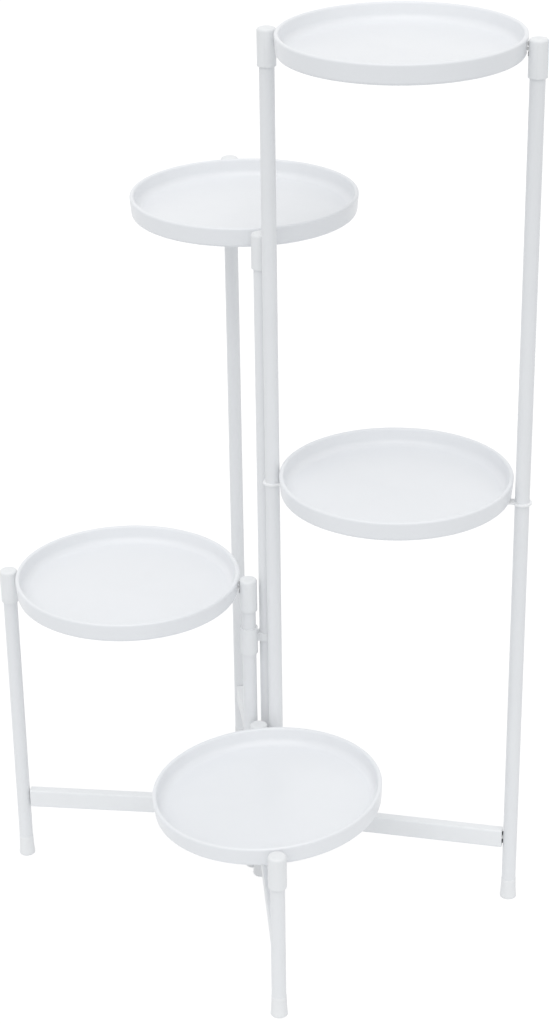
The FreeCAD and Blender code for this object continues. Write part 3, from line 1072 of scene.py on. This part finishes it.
@dataclass
class Workshop:
    """The node trees and finishes that the sub-assemblies share."""

    nodes: dict[str, bpy.types.Object]
    lathe: GeometryTree = field(default_factory=make_lathe)
    seams: GeometryTree = field(default_factory=make_seams_tree)
    pads: GeometryTree = field(default_factory=make_pads_tree)
    screws: GeometryTree = field(default_factory=make_screws_tree)
    tray: bpy.types.Material = field(default_factory=TRAY_FINISH.material)
    tube: bpy.types.Material = field(default_factory=TUBE_FINISH.material)
    strap: bpy.types.Material = field(default_factory=STRAP_FINISH.material)
    # near-black painted shade for the pads at the pins
    pad: bpy.types.Material = field(default_factory=SHADE_PAD_FINISH.material)
    foot: bpy.types.Material = field(default_factory=FOOT_FINISH.material)
    fitting: bpy.types.Material = field(default_factory=FITTING_FINISH.material)
    pin: bpy.types.Material = field(default_factory=PIN_FINISH.material)
    screw: bpy.types.Material = field(default_factory=SCREW_FINISH.material)

    def dress_cad(self) -> None:
        """Gives the CAD pieces that stay their finishes; the crossbars get theirs from their frames."""
        finishes = (
            ("_pins", self.pin),
            ("_screws", self.screw),
            ("_strap", self.strap),
            ("_tube", self.tube),
            ("_spigots", self.fitting),
        )
        for name, node in self.nodes.items():
            for ending, finish in finishes:
                if name.endswith(ending):
                    coat(node, finish)
            if "clip" in name:
                coat(node, self.fitting)


# ---------------------------------------------------------------- studio


@dataclass
class Studio:
    """The camera at the photograph's place, the pale floor, the world and the soft lamp.

    The camera's sizes are pixels of the 549 x 1024 frame; its place is metres and its turns are radians.
    """

    width: float = 549.0
    height: float = 1024.0
    focal: float = 2425.93
    centre_u: float = 238.84
    centre_v: float = 566.98
    eye: Vector = field(default_factory=lambda: Vector((-0.00746, -2.43941, 1.61957)))
    yaw: float = -0.0130
    pitch: float = 0.4623
    roll: float = 0.0212
    sensor: float = 36.0
    far: float = 100.0
    sky: Colour = (0.98, 0.99, 1.0)
    sky_strength: float = 0.76
    floor_radius: float = 40.0
    floor_near: Colour = (0.82, 0.83, 0.84)
    floor_far: Colour = (0.58, 0.59, 0.60)
    floor_fade: Point = (0.6, 2.0)
    floor_shade: float = 0.22
    floor_glow: float = 0.86
    lamp_source: Vector = field(default_factory=lambda: Vector((-0.3, -1.5, 2.4)))
    lamp_degrees: float = 60.0
    lamp_strength: float = 0.86

    def camera(self) -> None:
        """Places the camera."""
        data = bpy.data.cameras.new("photo_camera")
        data.sensor_fit = "AUTO"
        data.sensor_width = self.sensor
        data.lens = self.focal * self.sensor / self.height
        data.shift_x = (self.width / 2 - self.centre_u) / self.height
        data.shift_y = (self.centre_v - self.height / 2) / self.height
        data.clip_end = self.far
        level = math.cos(self.pitch)
        ahead = Vector((math.sin(self.yaw) * level, math.cos(self.yaw) * level, -math.sin(self.pitch)))
        right = Vector((math.cos(self.yaw), -math.sin(self.yaw), 0.0))
        down = ahead.cross(right)
        x_axis = right * math.cos(self.roll) + down * math.sin(self.roll)
        y_axis = right * math.sin(self.roll) - down * math.cos(self.roll)
        turn = Matrix((x_axis, y_axis, -ahead)).transposed().to_4x4()
        camera = bpy.data.objects.new("photo_camera", data)
        camera.matrix_world = Matrix.Translation(self.eye) @ turn
        bpy.context.scene.collection.objects.link(camera)
        bpy.context.scene.camera = camera

    @staticmethod
    def seen_ray(tree: Tree) -> Term:
        """1 for camera, glossy and transmission rays, and 0 for the others.

        Args:
            tree: the tree that asks.

        Returns:
            The mask.
        """
        camera, glossy, through = (
            tree.node("ShaderNodeLightPath", output=f"Is {kind} Ray")
            for kind in ("Camera", "Glossy", "Transmission")
        )
        return camera.highest(glossy).highest(through)

    def world(self) -> None:
        """A plain world: white to the eye, and a little weaker as light."""
        world = bpy.data.worlds.new("studio_world")
        world.use_nodes = True
        world.node_tree.nodes.clear()
        tree = Tree(world.node_tree)
        white = {"Color": (1.0, 1.0, 1.0, 1.0), "Strength": 1.0}
        pale = {"Color": (*self.sky, 1.0), "Strength": self.sky_strength}
        seen = tree.node("ShaderNodeBackground", {}, white)
        light = tree.node("ShaderNodeBackground", {}, pale)
        both = tree.node("ShaderNodeMixShader", {}, {0: self.seen_ray(tree), 1: light, 2: seen})
        tree.node("ShaderNodeOutputWorld", {}, {"Surface": both})
        bpy.context.scene.world = world

    def floor_finish(self) -> bpy.types.Material:
        """A floor that is white to the eye but for its shadow, and that lights the stand from below.

        Returns:
            The material.
        """
        finish = bpy.data.materials.new("studio_floor")
        finish.use_nodes = True
        finish.node_tree.nodes.clear()
        tree = Tree(finish.node_tree)
        out = tree.length(tree.node("ShaderNodeTexCoord", output="Object"))
        sweep = tree.mix(out.smooth(*self.floor_fade), self.floor_near, self.floor_far)
        plain = tree.node("ShaderNodeBsdfDiffuse", {}, {"Color": sweep})
        grey = (self.floor_shade, self.floor_shade, self.floor_shade, 1.0)
        shade = tree.node("ShaderNodeBsdfDiffuse", {}, {"Color": grey})
        white = {"Color": (1.0, 1.0, 1.0, 1.0), "Strength": self.floor_glow}
        glow = tree.node("ShaderNodeEmission", {}, white)
        pale = tree.node("ShaderNodeAddShader", {}, {0: shade, 1: glow})
        both = tree.node("ShaderNodeMixShader", {}, {0: self.seen_ray(tree), 1: plain, 2: pale})
        tree.node("ShaderNodeOutputMaterial", {}, {"Surface": both})
        return finish

    def floor(self) -> None:
        """A wide pale floor that keeps a faint shadow."""
        work = bmesh.new()
        bmesh.ops.create_circle(work, cap_ends=True, segments=96, radius=self.floor_radius)
        mesh = bpy.data.meshes.new("studio_floor")
        work.to_mesh(mesh)
        work.free()
        mesh.materials.append(self.floor_finish())
        piece = bpy.data.objects.new("studio_floor", mesh)
        bpy.context.scene.collection.objects.link(piece)

    def lamp(self) -> None:
        """A soft lamp so far off that it lights every height alike."""
        data = bpy.data.lights.new("overhead_lamp", "SUN")
        data.angle = math.radians(self.lamp_degrees)
        data.energy = self.lamp_strength
        lamp = bpy.data.objects.new("overhead_lamp", data)
        lamp.location = self.lamp_source
        lamp.rotation_euler = (-self.lamp_source).to_track_quat("-Z", "Y").to_euler()
        bpy.context.scene.collection.objects.link(lamp)

    def build(self) -> None:
        """Sets up the whole studio."""
        self.camera()
        self.world()
        self.floor()
        self.lamp()
        bpy.context.scene.view_settings.view_transform = "Standard"


# ---------------------------------------------------------------- the whole stand


FRAMES = (
    LegFrame("right", "top_tray"),
    LegFrame("back", "back_tray"),
    LegFrame("left", "left_tray"),
    LegFrame("front", "front_tray", tilt=math.radians(3.4)),
)


def main() -> None:
    """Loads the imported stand, builds and dresses it, and sets up the studio."""
    logging.basicConfig(level=logging.INFO, format="%(message)s")
    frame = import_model()
    Studio().build()
    shop = Workshop(frame["nodes"])
    shop.dress_cad()
    for legs in FRAMES:
        legs.build(shop)
        legs.dress(shop)
    MiddleTray(FRAMES[0]).build(shop)


if __name__ == "__main__":
    main()
